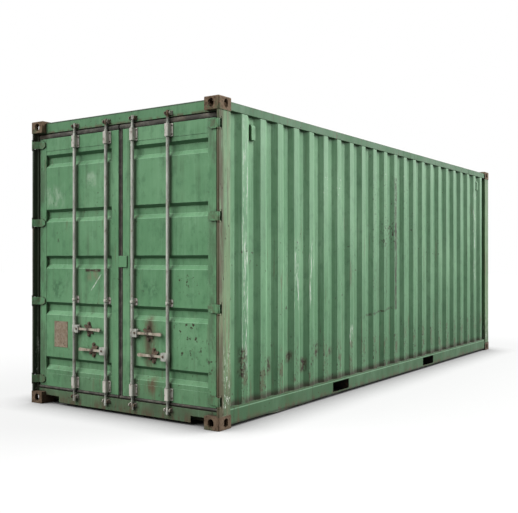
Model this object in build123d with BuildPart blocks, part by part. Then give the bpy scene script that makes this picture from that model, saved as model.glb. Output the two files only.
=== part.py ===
from build123d import *
import math
import os

os.makedirs("parts", exist_ok=True)

# Overall size in mm: x across the doors, y along the length, z up, door end at -y
width = 2438
height = 2896
length = 7315

# Corner castings
cast_x = 162
cast_y = 178
cast_z = 118
cast_wall = 22
cast_back = 12
cast_plate = 28
cast_round = 12
slot_long = 124
slot_wide = 63.5
slot_from_side = 89.5
slot_from_end = 102.5
eye_tall = 79
eye_end_wide = 64
eye_side_wide = 56

# Door end frame, depths counted inward from the casting face
post_face = 6
post_step = 50
post_flange = 114
post_out = width / 2 - 5
post_nose = post_out - 26
post_in = post_out - 49
post_lip = post_in - 35
post_wall = 6
post_round = 8
notch_side = 5
frame_face = 56
frame_back = cast_y
header_low = height - 126
header_high = height - 16
sill_low = 25
sill_high = 148
header_wall = 5
header_foot = 8
drip_drop = 30
drip_thick = 6
sill_wall = 6
sill_deck = 8
sill_notch = 197
sill_notch_tall = 60
rear_header_low = height - 136
rear_set = 9
rear_post_set = 6
rear_post_wall = 6

# Side and base frame
rail_out = width / 2 - 13
rail_wall = 6
top_rail_low = height - cast_z + 9
top_rail_high = height - 34
top_rail_in = rail_out - 60
top_rail_wall = 4
base_low = sill_low
base_high = 178
flange_in = rail_out - 46
board_thick = 28
board_gap = 3
member_high = base_high - board_thick
pocket_wide = 360
pocket_low = 45
pocket_plate = 4
pocket_spread = 2507
pocket_shift = -173
pocket_wall = 6
pocket_clear = 70
member_pitch = 305
member_flange = 45
member_wall = 4
member_margin = 100
board_rows = 3

# Corrugated walls and roof
sheet = 2
wall_out = rail_out - 4
wall_depth = 36
wall_first = 119
wall_slope = 70
wall_ridge = 86
wall_valley = 72
roof_pitch = 209
roof_rib = 159
roof_slope = 29
roof_rise = 20
roof_margin = 120
roof_end = 40
rear_post_x = 74
rear_pitch = 250
rear_depth = 45
rear_wall_set = 4
vent_drop = 67
vent_tall = 148
vent_wide = 66
vent_proud = 26
vent_brow = 20
vent_brow_drop = 12
vent_face_drop = 30

# Door leaves
leaf_face = 58
leaf_thick = 50
leaf_low = 182
leaf_high = height - 180
leaf_edge = width / 2 - 72
leaf_gap = 27
stile = 92
top_rail = 127
bottom_rail = 129
leaf_wall = 4
panel_set = 3
trough_deep = 33
trough_tall = 131
trough_top_slope = 30
trough_floor = 60
panel_margin = 41.5
trough_count = 5
inner_flat_share = 0.222
seal_face = 66
seal_thick = 38
seal_low = sill_high + 6
seal_high = header_low - 6
seal_edge = post_in - 7
seal_centre = leaf_gap - 10
tab_reach = 90
tab_thick = 12
tab_low = 1403
tab_high = 1511

# Hinges
pin_x = width / 2 - 12
pin_depth = 12
pin_r = 6
pin_fit = 0.2
knuckle_r = 11.5
blade_half = 39
notch_half = 56
blade_thick = 12
blade_start = 7
blade_taper = 40
arm_back = 5
bend_in = 17
bend_set = 5
lug_fit = 1
lug_foot = 12
lug_foot_set = 8
pin_short = 2
hinge_first = 247
hinge_count = 4
hinge_pitch = (height - 2 * hinge_first + 8) / (hinge_count - 1)

# Lock gear
rod_inner = 174
rod_outer = 611
rod_depth = 34
rod_r = 16
rod_fit = 0.4
neck_r = 11
rod_low = 72
rod_high = height - 66
guide_r = 20
guide_plate = 4
guide_half = 36
guide_clip = 10
strap_tall = 26
saddle_half = 44
saddle_tall = 68
guide_mid = 1080
guide_top_set = 3
guide_top_gap = 4
guide_low_gap = 16
guide_low_set = 1
neck_gap = 20
collar_r = 20.5
collar_tall = 14
collar_fit = 1
shoulder = 6
cam_r = 13
lobe_r = 8
lobe_off = 12
cam_in = 6
keeper_tall = 42
keeper_low = 92
keeper_high = height - 112
ear_in = 26
ear_thick = 10
ear_clip = 10
ear_front = 18
ear_set = 4
keeper_plate = 6
hub_upper = 791
hub_lower = 591
hub_r = 21
hub_half = 36
fork_half = 38
fork_out = 26
fork_round = 10
fork_thick = 7
fork_front = 16
fork_back = 37
pivot_r = 7
pivot_off = 44
handle_reach = 365
handle_thick = 12
handle_root = 16
handle_mid = 11
handle_lift_gap = 0.3
handle_set = 4
handle_neck = 110
handle_grip = 270
eye_trim = 2
retainer_off = 185
retainer_r = 34
boss_off = 56
boss_r = 18
catch_off = 48
catch_drop = 33.6
catch_r = 11
catch_thick = 8
retainer_plate = 6
boss_tall = 12
boss_trim = 5
shelf_half = 16
shelf_thick = 7
shelf_set = 4


def depth(d):
    return -length / 2 + d


def block(x0, x1, y0, y1, z0, z1, mode=Mode.ADD):
    with Locations(((x0 + x1) / 2, (y0 + y1) / 2, (z0 + z1) / 2)):
        Box(x1 - x0, y1 - y0, z1 - z0, mode=mode)


def upright(x, y, z0, z1, radius, mode=Mode.ADD):
    with Locations((x, y, (z0 + z1) / 2)):
        Cylinder(radius, z1 - z0, mode=mode)


def across(x, z, d0, d1, radius, mode=Mode.ADD):
    with Locations(Location((x, depth((d0 + d1) / 2), z), (90, 0, 0))):
        Cylinder(radius, d1 - d0, mode=mode)


def polygon(plane, points, amount, mode=Mode.ADD, rounded=(), radius=0):
    with BuildSketch(plane) as face:
        with BuildLine():
            Polyline(*points, close=True)
        make_face()
        if rounded:
            fillet([vertices().sort_by_distance(point)[0] for point in rounded], radius)
    extrude(face.sketch, amount=amount, mode=mode)


def link(plane, first, first_r, second, second_r, amount):
    with BuildSketch(plane) as outline:
        with Locations(first):
            Circle(first_r)
        with Locations(second):
            Circle(second_r)
        make_hull()
    extrude(outline.sketch, amount=amount)


def tube(plane, outer, inner, amount):
    with BuildSketch(plane) as section:
        for (a0, a1, b0, b1), mode in ((outer, Mode.ADD), (inner, Mode.SUBTRACT)):
            with Locations(((a0 + a1) / 2, (b0 + b1) / 2)):
                Rectangle(a1 - a0, b1 - b0, mode=mode)
    extrude(section.sketch, amount=amount)


def end_plane(y):
    return Plane(origin=(0, y, 0), x_dir=(1, 0, 0), z_dir=(0, 1, 0))


def save(built, label):
    built.part.label = label
    export_step(built.part, "parts/" + label + ".step")


# One casting at the right-hand door corner, its slotted plate at the given level
def casting(z0, slot_down):
    x1 = width / 2
    y0 = -length / 2
    low = cast_plate if slot_down else cast_back
    high = cast_back if slot_down else cast_plate
    block(x1 - cast_x, x1, y0, y0 + cast_y, z0, z0 + cast_z)
    corner_edges = edges().sort_by_distance((x1, y0, z0 + cast_z))[:3]
    fillet(corner_edges.filter_by(Axis.Z) if slot_down else corner_edges, cast_round)
    block(
        x1 - cast_x + cast_back,
        x1 - cast_wall,
        y0 + cast_wall,
        y0 + cast_y - cast_back,
        z0 + low,
        z0 + cast_z - high,
        Mode.SUBTRACT,
    )
    slot_z = z0 if slot_down else z0 + cast_z - cast_plate
    with BuildSketch(Plane.XY.offset(slot_z)) as slot:
        with Locations((x1 - slot_from_side, y0 + slot_from_end)):
            SlotOverall(slot_long, slot_wide, rotation=90)
    extrude(slot.sketch, amount=cast_plate, mode=Mode.SUBTRACT)
    mid_z = z0 + cast_z / 2
    with BuildSketch(end_plane(y0)) as end_eye:
        with Locations((x1 - slot_from_side, -mid_z)):
            SlotOverall(eye_tall, eye_end_wide, rotation=90)
    extrude(end_eye.sketch, amount=cast_wall, mode=Mode.SUBTRACT)
    with BuildSketch(Plane.YZ.offset(x1 - cast_wall)) as side_eye:
        with Locations((y0 + slot_from_end, mid_z)):
            SlotOverall(eye_tall, eye_side_wide, rotation=90)
    extrude(side_eye.sketch, amount=cast_wall, mode=Mode.SUBTRACT)


with BuildPart() as bottom_castings:
    casting(0, True)
    mirror(about=Plane.YZ)
    mirror(about=Plane.XZ)
save(bottom_castings, "bottom_corner_castings")

with BuildPart() as top_castings:
    casting(height - cast_z, False)
    mirror(about=Plane.YZ)
    mirror(about=Plane.XZ)
save(top_castings, "top_corner_castings")

hinge_heights = [hinge_first + i * hinge_pitch for i in range(hinge_count)]


# Pressed door post with a nose in front, an inner flange behind and a notch at each hinge
def door_post(side):
    w = post_wall
    outer = [
        (post_nose, post_face),
        (post_out, post_face),
        (post_out, cast_y),
        (post_lip, cast_y),
        (post_lip, post_flange),
        (post_in, post_flange),
        (post_in, post_step),
        (post_nose, post_step),
    ]
    inner = [
        (post_nose + w, post_face + w),
        (post_out - w, post_face + w),
        (post_out - w, cast_y - w),
        (post_lip + w, cast_y - w),
        (post_lip + w, post_flange + w),
        (post_in + w, post_flange + w),
        (post_in + w, post_step + w),
        (post_nose + w, post_step + w),
    ]
    tall = height - 2 * cast_z
    base = Plane.XY.offset(cast_z)
    outside = [(side * x, depth(d)) for x, d in outer]
    inside = [(side * x, depth(d)) for x, d in inner]
    bends = [outside[i] for i in (0, 1, 2, 6)]
    polygon(base, outside, tall, rounded=bends, radius=post_round)
    polygon(base, inside, tall, Mode.SUBTRACT)
    for z in hinge_heights:
        ends = sorted((side * (post_nose - notch_side), side * width / 2))
        block(*ends, depth(0), depth(post_step), z - notch_half, z + notch_half, Mode.SUBTRACT)


with BuildPart() as right_door_post:
    door_post(1)
save(right_door_post, "right_door_post")

with BuildPart() as left_door_post:
    door_post(-1)
save(left_door_post, "left_door_post")


# Lugs that carry the hinge pins above and below every knuckle
def lugs(side, z):
    for z0 in (z - notch_half, z + blade_half + lug_fit):
        z1 = z0 + notch_half - blade_half - lug_fit
        with BuildSketch(Plane.XY.offset(z0)) as lug:
            with Locations((side * pin_x, depth(pin_depth))):
                Circle(knuckle_r)
            with Locations((side * (post_nose + post_out) / 2, depth(post_step - lug_foot_set))):
                Rectangle(post_out - post_nose - notch_side, lug_foot)
            make_hull()
        extrude(lug.sketch, amount=z1 - z0)
        upright(side * pin_x, depth(pin_depth), z0, z1, pin_r + pin_fit, Mode.SUBTRACT)


with BuildPart() as hinge_lugs:
    for hinge_z in hinge_heights:
        lugs(1, hinge_z)
        lugs(-1, hinge_z)
save(hinge_lugs, "hinge_lugs")

# Door header: box beam between the castings, a plate out to the posts and a drip lip
header_x = width / 2 - cast_x
with BuildPart() as door_header:
    block(-header_x, header_x, depth(frame_face), depth(frame_back), header_low, header_high)
    block(
        -header_x,
        header_x,
        depth(frame_face + header_wall),
        depth(frame_back - header_wall),
        header_low + header_foot,
        header_high - header_wall,
        Mode.SUBTRACT,
    )
    block(-post_in, post_in, depth(frame_face), depth(post_flange), header_low, height - cast_z)
    block(-post_lip, post_lip, depth(post_flange), depth(frame_back), header_low, height - cast_z)
    drip_back = depth(post_flange + drip_thick)
    block(-post_lip, post_lip, depth(post_flange), drip_back, header_low - drip_drop, header_low)
save(door_header, "door_header")

# Door sill: box beam, its lower corners cut away beside the castings, with a raised threshold
with BuildPart() as door_sill:
    block(-header_x, header_x, depth(frame_face), depth(frame_back), sill_low, sill_high)
    block(-post_in, post_in, depth(frame_face), depth(post_flange), cast_z, sill_high)
    block(-post_lip, post_lip, depth(post_flange), depth(frame_back), cast_z, base_high)
    block(
        -header_x,
        header_x,
        depth(frame_face + sill_wall),
        depth(frame_back - sill_wall),
        sill_low,
        sill_high - sill_deck,
        Mode.SUBTRACT,
    )
    for side in (-1, 1):
        cut = sorted((side * header_x, side * (header_x - sill_notch)))
        cut_back = depth(frame_face + sill_wall)
        block(*cut, depth(frame_face), cut_back, sill_low, sill_low + sill_notch_tall, Mode.SUBTRACT)
save(door_sill, "door_sill")

# Closed end: two box posts, header and sill
rear_y = length / 2 - cast_y
rear_face = length / 2 - rear_set
rear_in = post_out - rear_post_x


def rear_post(side):
    w = rear_post_wall
    y1 = length / 2 - rear_post_set
    x0, x1 = sorted((side * rear_in, side * post_out))
    outer = (x0, x1, rear_y, y1)
    inner = (x0 + w, x1 - w, rear_y + w, y1 - w)
    tube(Plane.XY.offset(cast_z), outer, inner, height - 2 * cast_z)


with BuildPart() as right_rear_post:
    rear_post(1)
save(right_rear_post, "right_rear_post")

with BuildPart() as left_rear_post:
    rear_post(-1)
save(left_rear_post, "left_rear_post")

with BuildPart() as rear_header:
    block(-header_x, header_x, rear_y, rear_face, rear_header_low, header_high)
    block(-rear_in, rear_in, rear_y, rear_face, rear_header_low, height - cast_z)
    block(
        -header_x,
        header_x,
        rear_y + header_wall,
        rear_face - header_wall,
        rear_header_low + header_foot,
        header_high - header_wall,
        Mode.SUBTRACT,
    )
save(rear_header, "rear_header")

with BuildPart() as rear_sill:
    block(-header_x, header_x, rear_y, rear_face, base_low, base_high)
    block(-rear_in, rear_in, rear_y, rear_face, cast_z, base_high)
    hollow = (rear_y + sill_wall, rear_face - sill_wall)
    block(-header_x, header_x, *hollow, base_low, base_high - sill_deck, Mode.SUBTRACT)
save(rear_sill, "rear_sill")

# Side rails between the castings
front_y = depth(cast_y)
pocket_ys = [pocket_shift - pocket_spread / 2, pocket_shift + pocket_spread / 2]


def top_side_rail(side):
    w = top_rail_wall
    x0, x1 = sorted((side * top_rail_in, side * rail_out))
    outer = (x0, x1, -top_rail_high, -top_rail_low)
    inner = (x0 + w, x1 - w, w - top_rail_high, -w - top_rail_low)
    tube(end_plane(front_y), outer, inner, rear_y - front_y)


def bottom_side_rail(side):
    outer = sorted((side * flange_in, side * rail_out))
    web = rail_out - rail_wall
    channel = [
        (flange_in, base_low),
        (rail_out, base_low),
        (rail_out, base_high),
        (flange_in, base_high),
        (flange_in, base_high - rail_wall),
        (web, base_high - rail_wall),
        (web, base_low + rail_wall),
        (flange_in, base_low + rail_wall),
    ]
    polygon(end_plane(front_y), [(side * x, -z) for x, z in channel], rear_y - front_y)
    for y in pocket_ys:
        block(
            *outer,
            y - pocket_wide / 2,
            y + pocket_wide / 2,
            pocket_low,
            member_high - pocket_plate,
            Mode.SUBTRACT,
        )


with BuildPart() as right_top_side_rail:
    top_side_rail(1)
save(right_top_side_rail, "right_top_side_rail")

with BuildPart() as left_top_side_rail:
    top_side_rail(-1)
save(left_top_side_rail, "left_top_side_rail")

with BuildPart() as right_bottom_side_rail:
    bottom_side_rail(1)
save(right_bottom_side_rail, "right_bottom_side_rail")

with BuildPart() as left_bottom_side_rail:
    bottom_side_rail(-1)
save(left_bottom_side_rail, "left_bottom_side_rail")

# Corrugated side sheets, drawn in plan as one outer line and the same line a sheet inward
wall_in = wall_out - wall_depth + sheet
wall_pitch = wall_ridge + wall_valley + 2 * wall_slope
wall_run = length - 2 * cast_y - wall_first
wall_count = int((wall_run - 2 * wall_slope - wall_ridge) // wall_pitch) + 1


def wall_line():
    points = [(wall_in, front_y)]
    for i in range(wall_count):
        y = front_y + wall_first + i * wall_pitch
        points.append((wall_in, y))
        points.append((wall_out, y + wall_slope))
        points.append((wall_out, y + wall_slope + wall_ridge))
        points.append((wall_in, y + 2 * wall_slope + wall_ridge))
    points.append((wall_in, rear_y))
    return points


def side_wall(side):
    line = wall_line()
    back = [(x - sheet, y) for x, y in reversed(line)]
    points = [(side * x, y) for x, y in line + back]
    polygon(Plane.XY.offset(base_high), points, top_rail_low - base_high)


with BuildPart() as right_side_wall:
    side_wall(1)
save(right_side_wall, "right_side_wall")

with BuildPart() as left_side_wall:
    side_wall(-1)
save(left_side_wall, "left_side_wall")

# Corrugated closed end
rear_wall_out = rear_face - rear_wall_set
rear_half = (rear_pitch - 2 * rear_depth) / 2
rear_count = int(2 * rear_in // rear_pitch)
with BuildPart() as rear_wall:
    line = [(-rear_in, rear_wall_out)]
    for i in range(rear_count):
        x = (i - (rear_count - 1) / 2) * rear_pitch
        line.append((x - rear_half / 2 - rear_depth, rear_wall_out))
        line.append((x - rear_half / 2, rear_wall_out - rear_depth + sheet))
        line.append((x + rear_half / 2, rear_wall_out - rear_depth + sheet))
        line.append((x + rear_half / 2 + rear_depth, rear_wall_out))
    line.append((rear_in, rear_wall_out))
    back = [(x, y - sheet) for x, y in reversed(line)]
    polygon(Plane.XY.offset(base_high), line + back, rear_header_low - base_high)
save(rear_wall, "rear_wall")

# Roof sheet with cross ribs pressed up on all four sides, short of the rails
roof_run = rear_y - front_y
roof_count = int((roof_run - roof_end) // roof_pitch)
rib_rise = roof_rise - sheet
rib_taper = math.degrees(math.atan2(roof_slope, rib_rise))
with BuildPart() as roof_panel:
    block(-rail_out, rail_out, front_y, rear_y, top_rail_high, top_rail_high + sheet)
    for z, mode in ((top_rail_high + sheet, Mode.ADD), (top_rail_high, Mode.SUBTRACT)):
        with BuildSketch(Plane.XY.offset(z)) as ribs:
            with GridLocations(1, roof_pitch, 1, roof_count):
                Rectangle(2 * (rail_out - roof_margin), roof_rib)
        extrude(ribs.sketch, amount=rib_rise, taper=rib_taper, mode=mode)
save(roof_panel, "roof_panel")

# Base: fork pocket tunnels, cross members and floor boards
beam_x = rail_out - rail_wall
member_low = base_low + rail_wall
with BuildPart() as fork_pockets:
    for y in pocket_ys:
        half = pocket_wide / 2
        block(-beam_x, beam_x, y - half - pocket_wall, y + half + pocket_wall, member_low, member_high)
        block(
            -beam_x,
            beam_x,
            y - half,
            y + half,
            member_low,
            member_high - pocket_plate,
            Mode.SUBTRACT,
        )
save(fork_pockets, "fork_pockets")

member_count = int((roof_run - member_margin) // member_pitch)
with BuildPart() as cross_members:
    for i in range(member_count):
        y = front_y + (i + 0.5) * roof_run / member_count
        if min(abs(y - p) for p in pocket_ys) > pocket_wide / 2 + pocket_clear:
            channel = [
                (y, member_low),
                (y + member_flange, member_low),
                (y + member_flange, member_low + member_wall),
                (y + member_wall, member_low + member_wall),
                (y + member_wall, member_high - member_wall),
                (y + member_flange, member_high - member_wall),
                (y + member_flange, member_high),
                (y, member_high),
            ]
            polygon(Plane.YZ.offset(-beam_x), channel, 2 * beam_x)
save(cross_members, "cross_members")

board_run = roof_run / board_rows
with BuildPart() as floor_boards:
    for row in range(board_rows):
        y0 = front_y + row * board_run
        y1 = y0 + board_run - (board_gap if row < board_rows - 1 else 0)
        block(-flange_in, -board_gap / 2, y0, y1, member_high, base_high)
        block(board_gap / 2, flange_in, y0, y1, member_high, base_high)
save(floor_boards, "floor_boards")

# Vent hoods in the first and last full valleys of both sides
vent_front = front_y + wall_first + 2 * wall_slope + wall_ridge + wall_valley / 2
vent_rear = vent_front + (wall_count - 2) * wall_pitch
vent_high = top_rail_low - vent_drop
with BuildPart() as side_vents:
    for y in (vent_front, vent_rear):
        for side in (-1, 1):
            hood = [
                (wall_in, vent_high),
                (wall_in + vent_brow, vent_high - vent_brow_drop),
                (wall_in + vent_proud, vent_high - vent_face_drop),
                (wall_in + vent_proud, vent_high - vent_tall),
                (wall_in, vent_high - vent_tall),
            ]
            polygon(end_plane(y - vent_wide / 2), [(side * x, -z) for x, z in hood], vent_wide)
save(side_vents, "side_vents")

# Door leaves: side is +1 for the right-hand door and -1 for the left-hand one
leaf_back = leaf_face + leaf_thick
stile_in = leaf_edge - stile
stile_mid = leaf_gap + stile + 1
panel_low = leaf_low + bottom_rail
panel_high = leaf_high - top_rail
panel_face = leaf_face + panel_set
flat_total = panel_high - panel_low - 2 * panel_margin - trough_count * trough_tall
flat_inner = flat_total * inner_flat_share
flat_outer = flat_total / 2 - flat_inner


def door_stiles(side):
    for x0, x1 in ((leaf_gap, stile_mid), (stile_in, leaf_edge)):
        ends = sorted((side * x0, side * x1))
        block(*ends, depth(leaf_face), depth(leaf_back), leaf_low, leaf_high)
        block(
            ends[0] + leaf_wall,
            ends[1] - leaf_wall,
            depth(leaf_face + leaf_wall),
            depth(leaf_back - leaf_wall),
            leaf_low + leaf_wall,
            leaf_high - leaf_wall,
            Mode.SUBTRACT,
        )


def door_rails(side):
    w = leaf_wall
    x0 = stile_mid if side > 0 else -stile_in
    for z0, z1 in ((leaf_low, panel_low), (panel_high, leaf_high)):
        outer = (depth(leaf_face), depth(leaf_back), z0, z1)
        inner = (depth(leaf_face + w), depth(leaf_back - w), z0 + w, z1 - w)
        tube(Plane.YZ.offset(x0), outer, inner, stile_in - stile_mid)


def door_panel(side):
    line = [(depth(panel_face), panel_high)]
    z = panel_high - panel_margin
    for flat in (flat_outer, flat_inner, flat_inner, flat_outer, 0):
        line.append((depth(panel_face), z))
        line.append((depth(panel_face + trough_deep), z - trough_top_slope))
        line.append((depth(panel_face + trough_deep), z - trough_top_slope - trough_floor))
        line.append((depth(panel_face), z - trough_tall))
        z -= trough_tall + flat
    line.append((depth(panel_face), panel_low))
    back = [(y + sheet, z) for y, z in reversed(line)]
    x0 = stile_mid if side > 0 else -stile_in
    polygon(Plane.YZ.offset(x0), line + back, stile_in - stile_mid)


# Rubber seal round a leaf, with the centre strip carried by the right-hand door
def door_seal(side):
    centre = -seal_centre if side > 0 else leaf_gap
    ends = sorted((side * centre, side * seal_edge))
    hole = sorted((side * leaf_gap, side * leaf_edge))
    y0 = depth(seal_face)
    y1 = depth(seal_face + seal_thick)
    block(*ends, y0, y1, seal_low, seal_high)
    block(*hole, y0, y1, leaf_low, leaf_high, Mode.SUBTRACT)


# Strap hinge: plate on the stile, bent arm, knuckle and pin
def door_hinge(side, z):
    arm_x = leaf_edge - arm_back
    half = blade_thick / 2
    mid = leaf_face - half
    plate = [
        (stile_in + blade_start, z - blade_half * 0.5),
        (stile_in + blade_start, z + blade_half * 0.5),
        (stile_in + blade_taper, z + blade_half),
        (arm_x, z + blade_half),
        (arm_x, z - blade_half),
        (stile_in + blade_taper, z - blade_half),
    ]
    plane = end_plane(depth(leaf_face - blade_thick))
    polygon(plane, [(side * x, -h) for x, h in plate], blade_thick)
    bend_x = pin_x - bend_in
    bend_d = pin_depth + bend_set
    arm = [
        (arm_x - 1, mid - half),
        (arm_x, mid - half),
        (bend_x, bend_d - half - 1),
        (pin_x, pin_depth - half + 1),
        (pin_x, pin_depth + half - 1),
        (bend_x + 2, bend_d + half),
        (arm_x + 4, mid + half),
        (arm_x - 1, mid + half),
    ]
    base = Plane.XY.offset(z - blade_half)
    polygon(base, [(side * x, depth(d)) for x, d in arm], 2 * blade_half)
    upright(side * pin_x, depth(pin_depth), z - blade_half, z + blade_half, knuckle_r)
    upright(side * pin_x, depth(pin_depth), z - notch_half + pin_short, z + notch_half - pin_short, pin_r)


# Saddle guide: a back plate at the given depth with hat-section straps over the lock rod
def rod_guide(x, z0, z1, half_x, face, straps):
    with BuildSketch(end_plane(depth(face - guide_plate))) as plate:
        with Locations((x, -(z0 + z1) / 2)):
            Rectangle(2 * half_x, z1 - z0)
        chamfer(plate.vertices(), guide_clip)
    extrude(plate.sketch, amount=guide_plate)
    stand = face - guide_plate - rod_depth
    for base in straps:
        with BuildSketch(Plane(origin=(x, depth(rod_depth), base))) as saddle:
            for radius, mode in ((guide_r, Mode.ADD), (rod_r + rod_fit, Mode.SUBTRACT)):
                Circle(radius, mode=mode)
                with Locations((0, stand / 2)):
                    Rectangle(2 * radius, stand, mode=mode)
        extrude(saddle.sketch, amount=strap_tall)


guide_top = (panel_high + guide_top_set, leaf_high - guide_top_gap)
guide_low = (leaf_low + guide_low_gap, panel_low - guide_low_set)


def rod_guides(side):
    for x in (side * rod_inner, side * rod_outer):
        for z0, z1 in (guide_top, guide_low):
            rod_guide(x, z0, z1, guide_half, leaf_face, (z0, z1 - strap_tall))
        z0 = guide_mid - saddle_tall / 2
        strap = guide_mid - strap_tall / 2
        rod_guide(x, z0, z0 + saddle_tall, saddle_half, panel_face, (strap,))


# Handle retainer: lozenge back plate with two bosses, a ledge below the handle and a catch arm
def retainer(x, z, sense):
    plate_face = panel_face - retainer_plate
    with BuildSketch(end_plane(depth(plate_face))) as plate:
        with Locations((x, -z)):
            Circle(retainer_r)
        with Locations((x, -z - boss_off), (x, -z + boss_off)):
            Circle(boss_r)
        make_hull()
    extrude(plate.sketch, amount=retainer_plate)
    for dz in (-boss_off, boss_off):
        across(x, z + dz, plate_face - boss_tall, plate_face, boss_r - boss_trim)
    shelf = z - handle_mid - handle_lift_gap
    shelf_front = depth(rod_depth - shelf_set)
    block(x - shelf_half, x + shelf_half, shelf_front, depth(plate_face), shelf - shelf_thick, shelf)
    high = (x - sense * catch_off, -z - catch_drop)
    low = (x + sense * catch_off, -z + catch_drop)
    link(end_plane(depth(plate_face - catch_thick)), high, catch_r, low, catch_r, catch_thick)


gear = [
    (-rod_outer, hub_upper, 1),
    (-rod_inner, hub_lower, -1),
    (rod_inner, hub_upper, 1),
    (rod_outer, hub_lower, -1),
]


def retainers(side):
    for x, z, sense in gear:
        if x * side > 0:
            retainer(x + sense * retainer_off, z, sense)


for side, name in ((-1, "left"), (1, "right")):
    with BuildPart() as stiles:
        door_stiles(side)
    save(stiles, name + "_door_stiles")

    with BuildPart() as rails:
        door_rails(side)
    save(rails, name + "_door_rails")

    with BuildPart() as panel:
        door_panel(side)
    save(panel, name + "_door_panel")

    with BuildPart() as seal:
        door_seal(side)
    save(seal, name + "_door_gasket")

    with BuildPart() as hinges:
        for hinge_z in hinge_heights:
            door_hinge(side, hinge_z)
    save(hinges, name + "_door_hinges")

    with BuildPart() as guides:
        rod_guides(side)
    save(guides, name + "_rod_guides")

    with BuildPart() as catches:
        retainers(side)
    save(catches, name + "_handle_retainers")

# Tab on the right-hand door that laps the joint between the leaves
with BuildPart() as centre_tab:
    block(1 - seal_centre, tab_reach, depth(leaf_face - tab_thick), depth(leaf_face), tab_low, tab_high)
save(centre_tab, "centre_tab")

# Keepers on header and sill, open to the front so that a door can leave them
with BuildPart() as cam_keepers:
    for x in (-rod_outer, -rod_inner, rod_inner, rod_outer):
        for z in (keeper_low, keeper_high):
            half = ear_in + ear_thick + keeper_plate
            z1 = z + keeper_tall
            plate_face = depth(frame_face - keeper_plate)
            block(x - half, x + half, plate_face, depth(frame_face), z, z1)
            nose = depth(ear_front)
            clip = depth(ear_front + ear_clip)
            low = z + ear_set
            high = z1 - ear_set
            front = [(nose, low + ear_clip), (nose, high - ear_clip), (clip, high)]
            root = [(plate_face, high), (plate_face, low), (clip, low)]
            for ear_x in (x - ear_in - ear_thick, x + ear_in):
                polygon(Plane.YZ.offset(ear_x), front + root, ear_thick)
save(cam_keepers, "cam_keepers")


# Lock rod: one turned line for neck, pipe, collar and hub, then cams and the handle fork
def lock_rod(x, z, sense):
    y = depth(rod_depth)
    collar = guide_low[1] + collar_fit
    collar_top = collar + collar_tall
    neck_low = guide_low[0] - neck_gap
    neck_high = guide_top[1] + neck_gap
    line = [(0, rod_low), (neck_r, rod_low), (neck_r, neck_low), (rod_r, neck_low + shoulder)]
    line += [(rod_r, collar), (collar_r, collar), (collar_r, collar_top), (rod_r, collar_top)]
    line += [(rod_r, z - hub_half - shoulder), (hub_r, z - hub_half)]
    line += [(hub_r, z + hub_half), (rod_r, z + hub_half + shoulder)]
    line += [(rod_r, neck_high - shoulder), (neck_r, neck_high)]
    line += [(neck_r, rod_high), (0, rod_high)]
    with BuildSketch(Plane(origin=(x, y, 0), x_dir=(1, 0, 0), z_dir=(0, -1, 0))) as half:
        with BuildLine():
            Polyline(*line, close=True)
        make_face()
    revolve(half.sketch, axis=Axis((x, y, 0), (0, 0, 1)))
    for z0, z1 in ((rod_low, keeper_low + keeper_tall - cam_in), (keeper_high + cam_in, rod_high)):
        link(Plane.XY.offset(z0), (x, y), cam_r, (x + sense * lobe_off, y), lobe_r, z1 - z0)
    pivot = x + sense * pivot_off
    fork_x = pivot + sense * fork_out
    for d in (fork_front, fork_back):
        corners = [(fork_x, -z - fork_half), (fork_x, fork_half - z)]
        roots = [(x, fork_half - z), (x, -z - fork_half)]
        polygon(end_plane(depth(d)), corners + roots, fork_thick, rounded=corners, radius=fork_round)
    across(pivot, z, fork_front, fork_back + fork_thick, pivot_r)


# Handle: eye on the pivot pin, tapered bar and rounded grip
def lock_handle(x, z, sense):
    d0 = rod_depth - handle_thick / 2 - handle_set
    d1 = d0 + handle_thick
    pivot = x + sense * pivot_off
    tip = x + sense * (handle_reach - handle_root)
    bar = [
        (pivot, z - handle_root + eye_trim),
        (pivot, z + handle_root - eye_trim),
        (x + sense * handle_neck, z + handle_mid),
        (x + sense * handle_grip, z + handle_mid),
        (tip, z + handle_root),
        (tip, z - handle_root),
        (x + sense * handle_grip, z - handle_mid),
        (x + sense * handle_neck, z - handle_mid),
    ]
    polygon(end_plane(depth(d0)), [(px, -pz) for px, pz in bar], handle_thick)
    across(pivot, z, d0, d1, handle_root - eye_trim)
    across(tip, z, d0, d1, handle_root)
    across(pivot, z, d0, d1, pivot_r + pin_fit, Mode.SUBTRACT)


names = ["left_outer", "left_inner", "right_inner", "right_outer"]
for name, (x, z, sense) in zip(names, gear):
    with BuildPart() as rod:
        lock_rod(x, z, sense)
    save(rod, name + "_lock_rod")

    with BuildPart() as handle:
        lock_handle(x, z, sense)
    save(handle, name + "_handle")
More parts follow.
